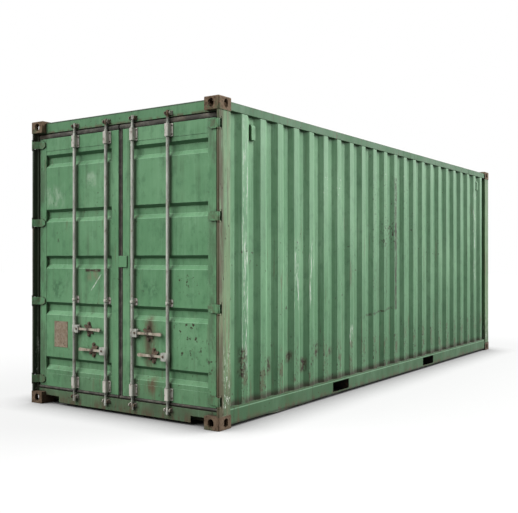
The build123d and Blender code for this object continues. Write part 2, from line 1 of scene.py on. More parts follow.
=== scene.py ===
import bpy
import bmesh
import math
import random
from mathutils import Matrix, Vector


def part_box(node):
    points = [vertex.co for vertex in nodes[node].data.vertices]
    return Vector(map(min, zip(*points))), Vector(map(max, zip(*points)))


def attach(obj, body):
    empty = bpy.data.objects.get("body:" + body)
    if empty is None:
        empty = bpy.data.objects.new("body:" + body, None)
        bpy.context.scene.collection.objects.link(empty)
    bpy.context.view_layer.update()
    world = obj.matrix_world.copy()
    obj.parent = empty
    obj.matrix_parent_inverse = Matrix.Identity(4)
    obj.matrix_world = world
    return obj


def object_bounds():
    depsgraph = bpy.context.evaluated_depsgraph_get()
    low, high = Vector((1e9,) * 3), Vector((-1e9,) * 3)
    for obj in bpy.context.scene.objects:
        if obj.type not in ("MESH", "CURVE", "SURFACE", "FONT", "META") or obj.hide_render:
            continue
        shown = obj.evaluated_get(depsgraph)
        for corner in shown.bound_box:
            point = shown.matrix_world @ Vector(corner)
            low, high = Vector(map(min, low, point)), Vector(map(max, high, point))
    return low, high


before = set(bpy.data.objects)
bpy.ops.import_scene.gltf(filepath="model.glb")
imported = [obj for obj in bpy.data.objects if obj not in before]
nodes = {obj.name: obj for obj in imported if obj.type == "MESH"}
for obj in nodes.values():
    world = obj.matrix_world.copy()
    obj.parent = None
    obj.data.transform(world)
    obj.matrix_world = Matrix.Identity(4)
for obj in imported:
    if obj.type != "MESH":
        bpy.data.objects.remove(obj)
cad_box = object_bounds()
dice = random.Random(7)

FRONT = Vector((0, -1, 0))
RIGHT = Vector((1, 0, 0))
UP = Vector((0, 0, 1))

# Places read from the frame, in metres
HEADER_GAP = 0.006
RIDGE_DEPTH = 0.002
ground_z = cad_box[0].z
door_end = cad_box[0].y
leaf_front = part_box("right_door_stiles")[0].y
leaf_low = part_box("right_door_stiles")[0].z
leaf_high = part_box("right_door_stiles")[1].z
panel_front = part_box("right_door_panel")[0].y
seal_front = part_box("right_door_gasket")[0].y
seal_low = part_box("right_door_gasket")[0].z
seal_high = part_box("right_door_gasket")[1].z
seal_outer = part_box("right_door_gasket")[1].x
header_low = seal_high + HEADER_GAP
header_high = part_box("door_header")[1].z
wall_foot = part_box("right_side_wall")[0].z
ridge_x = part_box("right_side_wall")[1].x - RIDGE_DEPTH
rail_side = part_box("right_bottom_side_rail")[1].x
rail_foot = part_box("right_bottom_side_rail")[0].z

# Paint, wear, painted shade and studio colours, linear
GREEN = (0.088, 0.222, 0.104, 1)
GREEN_LIGHT = (0.135, 0.290, 0.150, 1)
GREEN_PALE = (0.270, 0.450, 0.290, 1)
GREEN_DARK = (0.040, 0.118, 0.052, 1)
GREEN_OLD = (0.200, 0.245, 0.130, 1)
PRIMER = (0.560, 0.600, 0.530, 1)
# Dirt colour, also used for painted shade in crevices
GRIME_AND_SHADE = (0.045, 0.047, 0.030, 1)
RUST = (0.098, 0.060, 0.034, 1)
# Dark rust colour, also used for painted shade
RUST_DARK_AND_SHADE = (0.030, 0.018, 0.011, 1)
RUST_PALE = (0.190, 0.135, 0.088, 1)
RUST_MUD = (0.080, 0.064, 0.036, 1)
ZINC = (0.370, 0.385, 0.342, 1)
ZINC_PALE = (0.520, 0.495, 0.440, 1)
ZINC_DARK = (0.150, 0.163, 0.138, 1)
BONE = (0.410, 0.375, 0.300, 1)
RUBBER = (0.046, 0.044, 0.037, 1)
RUBBER_WORN = (0.125, 0.120, 0.100, 1)
PLY = (0.235, 0.120, 0.058, 1)
PLY_DARK = (0.110, 0.055, 0.028, 1)
# Tar colour, also used for painted shade on the seals
TAR_AND_SHADE = (0.014, 0.014, 0.013, 1)
# Near-black for painted shade, and for dark strips on the rails and header
SOOT_AND_SHADE = (0.018, 0.022, 0.015, 1)
BRONZE = (0.260, 0.210, 0.150, 1)
FLOOR_GREY = (0.12, 0.12, 0.119, 1)
FLOOR_DIM = (0.12, 0.12, 0.12, 1)
WHITE = (1, 1, 1, 1)

# Wear on the right-hand side wall: start and end along it from the door end, lowest and highest z
NEAR_SCRATCHES = (1.27, 1.70, 1.00, 1.65)
FIRST_SCRATCHES = (0.37, 0.47, 0.40, 2.75)
FAR_SCRATCHES = (6.55, 6.75, 1.10, 2.50)
LOW_SCRATCHES = (2.30, 2.54, 0.53, 0.73)
CHIP_ROWS = ((1.65, 2.32, 2.18, 2.36), (3.05, 4.00, 2.40, 2.56))
RUST_LINE = (3.650, 3.710, 0.85, 2.50)
RUST_BLOT = (3.30, 3.80, 1.62, 1.95)
PEPPERED = (2.85, 4.00, 1.00, 2.45)
FOOT_RUST = (
    (0.34, 0.42, 0.42, 0.68),
    (0.80, 0.87, 0.39, 0.54),
    (1.15, 1.23, 0.47, 0.56),
    (1.42, 1.52, 0.34, 0.47),
    (1.72, 1.78, 0.45, 0.61),
    (2.00, 2.07, 0.45, 0.52),
)

# A climbing gouge on the same wall: its extent along, its edges at the door end, and its slope
GOUGE_ALONG = (2.75, 3.62)
GOUGE_Z = (0.566, 0.590)
GOUGE_SLOPE = 0.082

# Joints of the bottom rails, from the door end
RAIL_JOINTS = (0.234, 1.61, 6.67)

# Wear on the doors: start and end across them, lowest and highest z
TOUCHED_UP = ((-0.97, -0.78, 1.09, 1.27), (0.25, 0.47, 1.13, 1.28))
SMALL_RUB = (-0.46, -0.34, 2.19, 2.33)
LARGE_RUB = (-1.05, -0.81, 2.02, 2.23)
CHIPPED = (
    (0.68, 0.96, 1.17, 1.34),
    (0.66, 0.92, 0.80, 0.94),
    (0.72, 1.00, 0.58, 0.79),
    (-0.91, -0.84, 1.66, 1.74),
)
CRACKED = (1.04, 1.10, 0.56, 0.78)
SCRAPE = (-0.48, -0.27, 1.355, 1.385)
SCRAPE_STAIN = (-0.45, -0.30, 1.27, 1.36)
LOCK_STAIN = (0.31, 0.43, 0.50, 0.91)
LOW_STAIN = (0.33, 0.45, 0.24, 0.38)
LOCK_BLEED = (0.335, 0.400, 0.46, 0.95)
LOCK_CORE = (0.350, 0.395, 0.64, 0.90)

# A slanting scratch on the left-hand door: its extent, its edges at the middle plane, and its slope
SCRATCH = (-0.41, -0.26, 1.17, 1.33)
SCRATCH_Z = (1.628, 1.640)
SCRATCH_SLOPE = 1.15

# Lock rods and the doors that carry them
RODS = {"left_outer": "left", "left_inner": "left", "right_inner": "right", "right_outer": "right"}
ROD_HUB = 0.021
RETAINER_OFF = 0.185


def inward(name):
    """Which way a handle lies from its rod: 1 to the right, -1 to the left."""
    return 1 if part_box(name + "_handle")[1].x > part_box(name + "_lock_rod")[1].x else -1


def rod_x(name):
    """The axis of a lock rod: its fork reaches to one side only, so the hub on the other gives it."""
    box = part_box(name + "_lock_rod")
    return box[0].x + ROD_HUB if inward(name) == 1 else box[1].x - ROD_HUB


def rod_y(name):
    """The middle of a lock rod from front to back."""
    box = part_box(name + "_lock_rod")
    return (box[0].y + box[1].y) / 2


def handle_z(name):
    """The middle of a handle from bottom to top."""
    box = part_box(name + "_handle")
    return (box[0].z + box[1].z) / 2


class Shader:
    """One material's nodes, with short names for those used here."""

    def __init__(self, name):
        self.material = bpy.data.materials.new(name)
        self.material.use_nodes = True
        self.tree = self.material.node_tree
        self.surface = self.tree.nodes["Principled BSDF"]
        own = self.add("ShaderNodeTexCoord")
        self.place = own.outputs["Object"]
        split = self.add("ShaderNodeSeparateXYZ")
        self.link(self.place, split.inputs[0])
        self.x, self.y, self.z = split.outputs
        facing = self.add("ShaderNodeSeparateXYZ")
        self.link(own.outputs["Normal"], facing.inputs[0])
        self.face_x, self.face_y, self.face_z = facing.outputs
        self.along = self.math("SUBTRACT", self.y, door_end)

    def add(self, kind, **settings):
        node = self.tree.nodes.new(kind)
        for key, value in settings.items():
            setattr(node, key, value)
        return node

    def link(self, value, socket):
        """Joins a socket to another one, or gives it a plain value."""
        if isinstance(value, bpy.types.NodeSocket):
            self.tree.links.new(value, socket)
        else:
            socket.default_value = value

    def noise(self, scale, detail=3, rough=0.55, stretch=(1, 1, 1), seed=0.0):
        mapping = self.add("ShaderNodeMapping")
        mapping.inputs["Scale"].default_value = stretch
        mapping.inputs["Location"].default_value = (seed, 1.7 * seed, 0.6 * seed)
        self.link(self.place, mapping.inputs["Vector"])
        made = self.add("ShaderNodeTexNoise")
        made.inputs["Scale"].default_value = scale
        made.inputs["Detail"].default_value = detail
        made.inputs["Roughness"].default_value = rough
        self.link(mapping.outputs[0], made.inputs["Vector"])
        return made.outputs["Fac"]

    def step(self, value, start, end):
        """A mask that goes smoothly from 0 at start to 1 at end, whichever is larger."""
        made = self.add("ShaderNodeMapRange", interpolation_type="SMOOTHSTEP")
        self.link(value, made.inputs["Value"])
        made.inputs["From Min"].default_value = start
        made.inputs["From Max"].default_value = end
        return made.outputs["Result"]

    def math(self, operation, a, b):
        made = self.add("ShaderNodeMath", operation=operation)
        self.link(a, made.inputs[0])
        self.link(b, made.inputs[1])
        return made.outputs[0]

    def times(self, product, *others):
        for value in others:
            product = self.math("MULTIPLY", product, value)
        return product

    def most(self, largest, *others):
        for value in others:
            largest = self.math("MAXIMUM", largest, value)
        return largest

    def off_middle(self):
        """How far a point lies from the container's middle plane, on either side."""
        return self.math("ABSOLUTE", self.x, 0.0)

    def band(self, value, start, end, soft):
        rise = self.step(value, start - soft, start + soft)
        fall = self.step(value, end + soft, end - soft)
        return self.times(rise, fall)

    def zone(self, across, place, soft=0.03):
        """A soft-edged rectangle from one of the wear places above."""
        start, end, foot, head = place
        return self.times(self.band(across, start, end, soft), self.band(self.z, foot, head, soft))

    def zones(self, across, places, soft=0.03):
        return self.most(*(self.zone(across, place, soft) for place in places))

    def mix(self, share, a, b):
        made = self.add("ShaderNodeMix", data_type="RGBA")
        self.link(share, made.inputs["Factor"])
        self.link(a, made.inputs["A"])
        self.link(b, made.inputs["B"])
        return made.outputs["Result"]

    def coat(self, colour, tone, *masks):
        """Lays a tone over a colour, as strongly as its masks and shares multiply to."""
        return self.mix(self.times(*masks), colour, tone)

    def edges(self, radius, start=0.97, end=0.80):
        """A mask of the sharp edges within a radius."""
        bevel = self.add("ShaderNodeBevel", samples=4)
        bevel.inputs["Radius"].default_value = radius
        flat = self.add("ShaderNodeNewGeometry")
        dot = self.add("ShaderNodeVectorMath", operation="DOT_PRODUCT")
        self.link(bevel.outputs[0], dot.inputs[0])
        self.link(flat.outputs["True Normal"], dot.inputs[1])
        return self.step(dot.outputs["Value"], start, end)

    def crevice_shade_and_dirt(self, reach):
        """A mask of the corners that have other faces within reach, used to paint shade and dirt into
        them.
        """
        shade = self.add("ShaderNodeAmbientOcclusion", samples=4)
        shade.inputs["Distance"].default_value = reach
        return self.step(shade.outputs["AO"], 0.85, 0.40)

    def finish(self, colour, roughness, bump, strength, metallic=0.0, specular=0.5):
        self.link(colour, self.surface.inputs["Base Color"])
        self.link(roughness, self.surface.inputs["Roughness"])
        self.surface.inputs["Metallic"].default_value = metallic
        self.surface.inputs["Specular IOR Level"].default_value = specular
        relief = self.add("ShaderNodeBump")
        relief.inputs["Strength"].default_value = strength
        relief.inputs["Distance"].default_value = 0.004
        self.link(bump, relief.inputs["Height"])
        self.link(relief.outputs[0], self.surface.inputs["Normal"])
        return self.material


def paint(
    name,
    fade=0.4,
    grime=0.4,
    rust=0.3,
    old=0.0,
    edge=0.6,
    edge_tone=RUST,
    deep=0.5,
    streaks=0.32,
    marks=None,
    seed=0.0,
):
    """Worn green paint, with painted shade and dirt in its crevices; marks is a function that adds the
    wear, and in places painted light and shade, of one place.
    """
    s = Shader(name)
    tone = s.noise(0.9, 5, 0.6, seed=seed)
    colour = s.mix(s.step(tone, 0.38, 0.68), GREEN, GREEN_LIGHT)
    chalk = s.noise(2.6, 7, 0.68, (1, 1, 0.35), seed + 3)
    colour = s.coat(colour, GREEN_LIGHT, s.step(chalk, 0.48, 0.74), fade)
    stain = s.noise(4.5, 8, 0.7, (1, 1, 0.5), seed + 4)
    colour = s.coat(colour, GREEN_DARK, s.step(stain, 0.52, 0.72), deep)
    streak = s.noise(34.0, 4, 0.6, (1, 1, 0.03), seed + 6)
    colour = s.coat(colour, GREEN_DARK, s.step(streak, 0.52, 0.70), streaks)
    colour = s.coat(colour, GREEN_PALE, s.step(streak, 0.46, 0.30), streaks)
    mottle = s.noise(12.0, 7, 0.68, (1, 1, 0.7), seed + 2)
    colour = s.coat(colour, GREEN_DARK, s.step(mottle, 0.50, 0.68), 0.40)
    colour = s.coat(colour, GREEN_LIGHT, s.step(mottle, 0.48, 0.32), 0.30)
    if old:
        worn = s.noise(5.0, 8, 0.7, (1, 1, 0.08), seed + 5)
        colour = s.coat(colour, GREEN_OLD, s.step(worn, 0.32, 0.62), old)
    runs = s.noise(14.0, 4, 0.6, (1, 1, 0.05), seed + 8)
    cloud = s.noise(1.4, 4, 0.6, seed=seed + 9)
    dirt = s.times(s.step(runs, 0.50, 0.74), s.step(cloud, 0.36, 0.62))
    foot = s.times(s.step(s.z, 0.80, 0.10), s.step(chalk, 0.28, 0.62))
    dirt = s.times(s.most(dirt, foot), grime)
    colour = s.coat(colour, GRIME_AND_SHADE, dirt)
    if marks:
        colour = marks(s, colour)
    grain = s.noise(26.0, 6, 0.62, seed=seed + 11)
    region = s.step(s.noise(1.1, 2, 0.5, seed=seed + 12), 0.44, 0.60)
    rusty = s.most(region, s.times(s.step(s.z, 1.4, 0.3), 0.8))
    spots = s.times(s.step(grain, 0.645, 0.675), rusty)
    trail = s.step(s.noise(22.0, 4, 0.55, (1, 1, 0.08), seed + 11), 0.60, 0.72)
    broken = s.step(s.noise(11.0, 6, 0.7, seed=seed + 14), 0.40, 0.58)
    colour = s.coat(colour, edge_tone, s.edges(0.006), broken, edge)
    # Painted shade and dirt in the crevices
    colour = s.coat(colour, GRIME_AND_SHADE, s.crevice_shade_and_dirt(0.05), 0.85)
    colour = s.coat(colour, RUST, trail, rusty, rust)
    colour = s.coat(colour, RUST_DARK_AND_SHADE, spots, min(1.0, 1.8 * rust))
    fine = s.noise(180.0, 2, 0.5, seed=seed)
    rough = s.step(s.math("ADD", s.times(dirt, 0.5), s.times(chalk, 0.6)), -0.75, 0.95)
    relief = s.math("ADD", s.times(fine, 0.15), s.math("SUBTRACT", chalk, spots))
    return s.finish(colour, rough, relief, 0.3, specular=0.28)


def wall_marks(s, colour):
    """Scratches to the primer, scrape lines and rust on a side wall, with painted light: ridges
    lighter towards the top, shade towards the bottom, pale worn paint and painted highlights on the
    ridges' bends, and painted shade in the troughs' bends.
    """
    outside = s.step(s.times(s.face_x, s.x), -0.05, 0.05)
    ridge = s.times(s.step(s.off_middle(), ridge_x - 0.004, ridge_x), outside)
    # Painted light: the wall darker towards the bottom and its ridges lighter towards the top
    colour = s.coat(colour, GREEN_DARK, s.step(s.z, 1.7, 0.2), 0.45)
    colour = s.coat(colour, GREEN_PALE, ridge, s.step(s.z, 1.0, 2.8), 0.35)
    # Pale worn paint and a painted highlight on the ridges' bends, painted shade in the troughs' bends
    bend = s.edges(0.010, 0.997, 0.972)
    colour = s.coat(colour, GREEN_PALE, bend, ridge, 0.60)
    trough = s.step(s.off_middle(), ridge_x - 0.012, ridge_x - 0.020)
    colour = s.coat(colour, GREEN_DARK, bend, trough, 0.55)
    unhurt = colour
    scratch = s.step(s.noise(72.0, 5, 0.70, (1, 1, 0.07), 21), 0.555, 0.600)
    near = s.zone(s.along, NEAR_SCRATCHES, 0.06)
    first = s.times(s.zone(s.along, FIRST_SCRATCHES, 0.02), 0.8)
    far = s.times(s.zone(s.along, FAR_SCRATCHES, 0.06), 0.9)
    lower = s.zone(s.along, LOW_SCRATCHES)
    colour = s.coat(colour, PRIMER, scratch, ridge, s.most(near, first, far, lower))
    fleck = s.noise(44.0, 5, 0.66, (1, 1, 0.7), 23)
    chips = s.step(fleck, 0.615, 0.645)
    colour = s.coat(colour, PRIMER, chips, ridge, s.zones(s.along, CHIP_ROWS))
    rust_run = s.step(s.noise(34.0, 7, 0.75, (1, 1, 0.22), 25), 0.42, 0.50)
    colour = s.coat(colour, RUST_DARK_AND_SHADE, rust_run, s.zone(s.along, RUST_LINE, 0.015), 0.80)
    specks = s.step(fleck, 0.60, 0.63)
    colour = s.coat(colour, RUST_DARK_AND_SHADE, specks, ridge, s.zone(s.along, PEPPERED, 0.15))
    colour = s.coat(colour, RUST_DARK_AND_SHADE, s.step(fleck, 0.55, 0.59), s.zone(s.along, RUST_BLOT, 0.08))
    climb = s.math("SUBTRACT", s.z, s.times(s.along, GOUGE_SLOPE))
    line = s.times(s.band(climb, *GOUGE_Z, 0.014), s.band(s.along, *GOUGE_ALONG, 0.05))
    torn = s.step(s.noise(26.0, 7, 0.75, (1, 1, 1.6), 24), 0.47, 0.53)
    colour = s.coat(colour, RUST_DARK_AND_SHADE, torn, line)
    feet = s.zones(s.along, FOOT_RUST, 0.035)
    patch = s.step(s.noise(20.0, 7, 0.7, (1, 1, 0.6), 27), 0.47, 0.54)
    colour = s.coat(colour, RUST_MUD, patch, feet, 0.6)
    blisters = s.step(s.noise(30.0, 6, 0.7, (1, 1, 0.7), 28), 0.47, 0.51)
    colour = s.coat(colour, RUST_DARK_AND_SHADE, blisters, feet)
    colour = s.coat(unhurt, colour, s.step(s.x, -0.1, 0.1), outside)
    foot_band = s.times(s.band(s.z, wall_foot, wall_foot + 0.42, 0.10), ridge)
    foot_patch = s.step(s.noise(11.0, 7, 0.74, (1, 1, 0.6), 26), 0.51, 0.58)
    colour = s.coat(colour, RUST_MUD, foot_patch, foot_band, 0.65)
    colour = s.coat(colour, RUST_DARK_AND_SHADE, s.step(fleck, 0.58, 0.61), foot_band)
    seam = s.step(s.noise(7.0, 5, 0.7, (1, 1, 0.3), 29), 0.26, 0.46)
    foot_line = s.step(s.z, wall_foot + 0.080, wall_foot + 0.010)
    return s.coat(colour, RUST_DARK_AND_SHADE, seam, foot_line, 0.85)


def door_marks(s, colour):
    """Overpainted patches, chips, a scrape and rust round the handles of the doors, with painted
    highlights on upward edges and painted shade on downward faces.
    """
    unhurt = colour
    mottle = s.step(s.noise(16.0, 6, 0.7, seed=30), 0.42, 0.58)
    colour = s.coat(colour, GREEN_DARK, mottle, s.zones(s.x, TOUCHED_UP, 0.05), 0.75)
    rubbed = s.step(s.noise(13.0, 6, 0.7, (1, 1, 0.6), 35), 0.40, 0.66)
    pale = s.most(s.zone(s.x, SMALL_RUB), s.zone(s.x, LARGE_RUB, 0.05))
    colour = s.coat(colour, PRIMER, rubbed, pale, 0.28)
    chip = s.step(s.noise(19.0, 6, 0.66, (1, 1, 0.9), 31), 0.585, 0.605)
    colour = s.coat(colour, RUST_DARK_AND_SHADE, chip, s.zones(s.x, CHIPPED))
    crack = s.step(s.noise(26.0, 6, 0.7, (1.4, 1, 0.4), 32), 0.52, 0.58)
    colour = s.coat(colour, RUST_DARK_AND_SHADE, crack, s.zone(s.x, CRACKED, 0.02))
    scrape = s.step(s.noise(18.0, 6, 0.7, (0.5, 1, 1), 37), 0.40, 0.52)
    colour = s.coat(colour, RUST_DARK_AND_SHADE, scrape, s.zone(s.x, SCRAPE, 0.012))
    under = s.step(s.noise(15.0, 7, 0.7, (1, 1, 0.3), 39), 0.42, 0.62)
    colour = s.coat(colour, RUST_PALE, under, s.zone(s.x, SCRAPE_STAIN), 0.55)
    slant = s.math("SUBTRACT", s.z, s.times(s.x, SCRATCH_SLOPE))
    line = s.times(s.band(slant, *SCRATCH_Z, 0.008), s.zone(s.x, SCRATCH, 0.01))
    torn = s.step(s.noise(40.0, 5, 0.7, seed=38), 0.40, 0.55)
    colour = s.coat(colour, PRIMER, line, torn)
    stain = s.step(s.noise(14.0, 7, 0.70, (1, 1, 0.30), 33), 0.40, 0.56)
    stained = s.most(s.zone(s.x, LOCK_STAIN, 0.06), s.zone(s.x, LOW_STAIN, 0.05))
    colour = s.coat(colour, RUST, stain, stained, 0.85)
    drip = s.step(s.noise(24.0, 6, 0.7, (1, 1, 0.12), 36), 0.34, 0.52)
    colour = s.coat(colour, RUST_MUD, drip, s.zone(s.x, LOCK_BLEED, 0.035), 0.85)
    colour = s.coat(colour, RUST_DARK_AND_SHADE, drip, s.zone(s.x, LOCK_CORE, 0.025), 0.6)
    colour = s.coat(unhurt, colour, s.step(s.face_y, 0.1, -0.1))
    rim = s.band(s.off_middle(), 1.06, 1.16, 0.03)
    soiled = s.step(s.noise(7.0, 8, 0.72, (1, 1, 0.35), 34), 0.44, 0.64)
    colour = s.coat(colour, GRIME_AND_SHADE, rim, soiled, 0.50)
    # Painted highlight on the edges of upward faces
    painted_crest_highlight = s.times(s.edges(0.009, 0.99, 0.93), s.step(s.face_z, 0.1, 0.4))
    colour = s.coat(colour, GREEN_PALE, painted_crest_highlight, 0.55)
    # Painted shade on the downward faces
    painted_underside_shade = s.step(s.face_z, -0.15, -0.45)
    return s.coat(colour, GREEN_DARK, painted_underside_shade, 0.70)


def post_marks(s, colour):
    """Rusted front strip, flaking paint and long rust lines on the posts, with painted shade on the
    front of the left-hand post.
    """
    lines = s.step(s.noise(30.0, 6, 0.65, (1, 1, 0.03), 43), 0.52, 0.66)
    colour = s.coat(colour, RUST_PALE, lines, 0.65)
    grimy = s.step(s.noise(55.0, 6, 0.7, (1, 1, 0.05), 49), 0.50, 0.62)
    colour = s.coat(colour, GRIME_AND_SHADE, grimy, 0.45)
    bare = s.step(s.noise(9.0, 7, 0.7, (1, 1, 0.2), 45), 0.34, 0.58)
    colour = s.coat(colour, RUST_MUD, s.step(s.along, 0.020, 0.010), bare, 0.9)
    # Painted shade: the front of the left-hand post made near-black
    left = s.times(s.step(s.x, 0.0, -0.1), s.step(s.along, 0.10, 0.06))
    colour = s.coat(colour, SOOT_AND_SHADE, left, 0.85)
    flakes = s.step(s.noise(48.0, 7, 0.75, (1, 1, 0.22), 41), 0.565, 0.60)
    low_part = s.times(s.step(s.z, 1.0, 0.2), s.step(s.along, 0.02, 0.04))
    colour = s.coat(colour, PRIMER, flakes, low_part)
    flaked = s.step(s.noise(16.0, 7, 0.72, (1, 1, 0.10), 47), 0.38, 0.54)
    corner = s.times(s.step(s.along, 0.095, 0.050), s.step(s.x, -0.1, 0.0))
    return s.coat(colour, RUST_MUD, corner, flaked, 0.85)


def hinge_marks(s, colour):
    """Darker, rust-bitten paint on the hinge straps, with painted shade on their downward faces."""
    bitten = s.step(s.noise(18.0, 7, 0.72, seed=57), 0.42, 0.60)
    colour = s.coat(colour, GREEN_DARK, 0.25)
    colour = s.coat(colour, RUST_MUD, bitten, 0.55)
    # Painted shade on the straps' downward faces
    lower = s.step(s.face_z, -0.2, -0.6)
    return s.coat(colour, RUST_DARK_AND_SHADE, lower, 0.8)


def rail_marks(s, colour):
    """Rust, grime and joints along the rails, sills and headers, a near-black strip along the header's
    top, a painted highlight on the bottom rail's ledge and painted shadow with dirt along its foot.
    """
    low_part = s.step(s.z, 0.30, 0.20)
    high_part = s.step(s.z, 2.6, 2.7)
    outer = s.step(s.off_middle(), 1.10, 1.15)
    bottom_rail = s.times(outer, low_part)
    top_rail = s.times(outer, high_part)
    run = s.step(s.noise(10.0, 6, 0.7, (1, 1, 0.3), 51), 0.42, 0.60)
    sill = s.times(s.step(s.z, 0.16, 0.03), low_part, 0.9)
    lip = s.band(s.z, header_low - 0.01, header_low + 0.02, 0.012)
    flange = s.band(s.z, wall_foot - 0.012, wall_foot + 0.004, 0.006)
    colour = s.coat(colour, RUST, run, s.most(sill, lip, flange))
    colour = s.coat(colour, GRIME_AND_SHADE, low_part, 0.42)
    colour = s.coat(colour, GREEN_DARK, bottom_rail, 0.62)
    muddy = s.step(s.z, rail_foot + 0.060, rail_foot + 0.015)
    colour = s.coat(colour, RUST_MUD, bottom_rail, muddy, run, 0.7)
    # Painted highlight along the bottom rail's ledge
    painted_ledge_highlight = s.band(s.z, wall_foot - 0.024, wall_foot - 0.015, 0.004)
    colour = s.coat(colour, GREEN_PALE, bottom_rail, painted_ledge_highlight, 0.5)
    # Painted shadow and dirt along the bottom rail's lower edge
    foot_shadow_and_dirt = s.step(s.z, rail_foot + 0.024, rail_foot + 0.008)
    colour = s.coat(colour, SOOT_AND_SHADE, bottom_rail, foot_shadow_and_dirt, 0.6)
    colour = s.coat(colour, GREEN_DARK, high_part, 0.36)
    colour = s.coat(colour, GREEN_DARK, top_rail, 0.64)
    drips = s.step(s.noise(36.0, 6, 0.7, (1, 1, 0.12), 53), 0.54, 0.66)
    colour = s.coat(colour, RUST_MUD, top_rail, drips, 0.55)
    brow = s.times(s.step(s.z, header_high - 0.018, header_high - 0.008), s.step(s.along, 0.30, 0.20))
    colour = s.coat(colour, SOOT_AND_SHADE, brow, 0.75)
    joints = s.most(*(s.band(s.along, place, place + 0.006, 0.004) for place in RAIL_JOINTS))
    return s.coat(colour, RUST_DARK_AND_SHADE, joints, bottom_rail, 0.8)


def handle_marks(s, colour):
    """Rust on the handles where they lie in their retainers."""
    places = []
    for name in RODS:
        x = rod_x(name) + inward(name) * RETAINER_OFF
        z = handle_z(name)
        places.append((x - 0.026, x + 0.026, z - 0.05, z + 0.05))
    broken = s.step(s.noise(30.0, 6, 0.7, seed=61), 0.36, 0.54)
    return s.coat(colour, RUST_DARK_AND_SHADE, s.zones(s.x, places, 0.012), broken, 0.9)


def zinc(name, tint, shade, rust, seed, marks=None):
    """Galvanised steel gone dull, with rust breaking through and painted shade in its crevices."""
    s = Shader(name)
    dull = s.noise(9.0, 6, 0.65, (1, 1, 0.3), seed)
    colour = s.mix(s.step(dull, 0.36, 0.74), tint, shade)
    grain = s.noise(120.0, 3, 0.6, seed=seed + 1)
    colour = s.coat(colour, BONE, s.step(grain, 0.45, 0.70), 0.3)
    spots = s.step(s.noise(22.0, 7, 0.7, (1, 1, 0.6), seed + 2), 0.55, 0.63)
    colour = s.coat(colour, RUST, spots, rust)
    # Painted shade in the crevices
    colour = s.coat(colour, RUST_DARK_AND_SHADE, s.crevice_shade_and_dirt(0.008), 0.8)
    ends = s.most(s.step(s.z, header_low - 0.02, header_low + 0.01), s.step(s.z, 0.17, 0.13))
    colour = s.coat(colour, RUST, ends, s.step(dull, 0.42, 0.60))
    if marks:
        colour = marks(s, colour)
    rough = s.step(dull, -0.6, 1.0)
    return s.finish(colour, rough, s.math("ADD", s.times(grain, 0.3), spots), 0.3, 0.1)


def rusty_casting():
    """Corner castings: rust with pits and a little paint left, and dark rust with painted shade in
    their hollows.
    """
    s = Shader("rusted_casting")
    patch = s.noise(7.0, 8, 0.7, seed=2)
    colour = s.mix(s.step(patch, 0.35, 0.66), RUST, RUST_PALE)
    pits = s.noise(60.0, 5, 0.6, seed=4)
    colour = s.coat(colour, RUST_DARK_AND_SHADE, s.step(pits, 0.52, 0.66), 0.8)
    green = s.step(s.noise(4.0, 6, 0.7, seed=6), 0.58, 0.66)
    colour = s.coat(colour, GREEN_DARK, green, 0.45)
    colour = s.coat(colour, RUST_DARK_AND_SHADE, s.step(s.z, 0.4, 0.2), 0.30)
    # Dark rust in the hollows, with painted shade there
    colour = s.coat(colour, RUST_DARK_AND_SHADE, s.crevice_shade_and_dirt(0.03), 0.8)
    return s.finish(colour, s.step(patch, -0.8, 0.6), pits, 0.5, specular=0.3)


def rubber():
    """Door seals: black rubber worn grey, with rusty dust, and painted shade in their creases."""
    s = Shader("worn_rubber")
    worn = s.noise(12.0, 6, 0.65, seed=3)
    colour = s.mix(s.step(worn, 0.40, 0.70), RUBBER, RUBBER_WORN)
    dust = s.noise(3.0, 5, 0.6, (1, 1, 0.4), 5)
    colour = s.coat(colour, RUST_PALE, s.step(dust, 0.52, 0.75), 0.5)
    # Painted shade in the creases
    colour = s.coat(colour, TAR_AND_SHADE, s.crevice_shade_and_dirt(0.02), 0.8)
    return s.finish(colour, s.step(worn, -1.0, 0.8), s.noise(90.0, 3), 0.3, specular=0.3)


def plywood():
    """Floor boards: grain along the container, scuffed pale."""
    s = Shader("worn_plywood")
    grain = s.noise(8.0, 8, 0.6, (1, 0.06, 1), 2)
    colour = s.mix(s.step(grain, 0.32, 0.70), PLY, PLY_DARK)
    scuff = s.noise(3.0, 6, 0.7, (1, 0.4, 1), 7)
    colour = s.coat(colour, BONE, s.step(scuff, 0.55, 0.75), 0.5)
    return s.finish(colour, s.step(scuff, -0.9, 0.9), grain, 0.3, specular=0.35)


def underbody():
    """Cross members and fork pockets: tar with rust showing."""
    s = Shader("tarred_steel")
    patch = s.noise(5.0, 6, 0.65, seed=1)
    colour = s.mix(s.step(patch, 0.40, 0.65), TAR_AND_SHADE, GRIME_AND_SHADE)
    rust = s.step(s.noise(10.0, 6, 0.7, seed=3), 0.60, 0.68)
    colour = s.coat(colour, RUST, rust)
    return s.finish(colour, s.step(patch, -1.0, 0.7), s.noise(70.0, 3), 0.3, specular=0.3)


def plate_metal():
    """The bare data plate: brown, stained metal."""
    s = Shader("plate_metal")
    patch = s.noise(24.0, 7, 0.7, seed=5)
    colour = s.mix(s.step(patch, 0.35, 0.68), BRONZE, RUST_PALE)
    dark = s.step(s.noise(55.0, 4, 0.6, seed=6), 0.55, 0.66)
    colour = s.coat(colour, RUST_DARK_AND_SHADE, dark, 0.6)
    return s.finish(colour, s.step(patch, -0.6, 1.0), s.noise(90.0, 3), 0.4, 0.2)


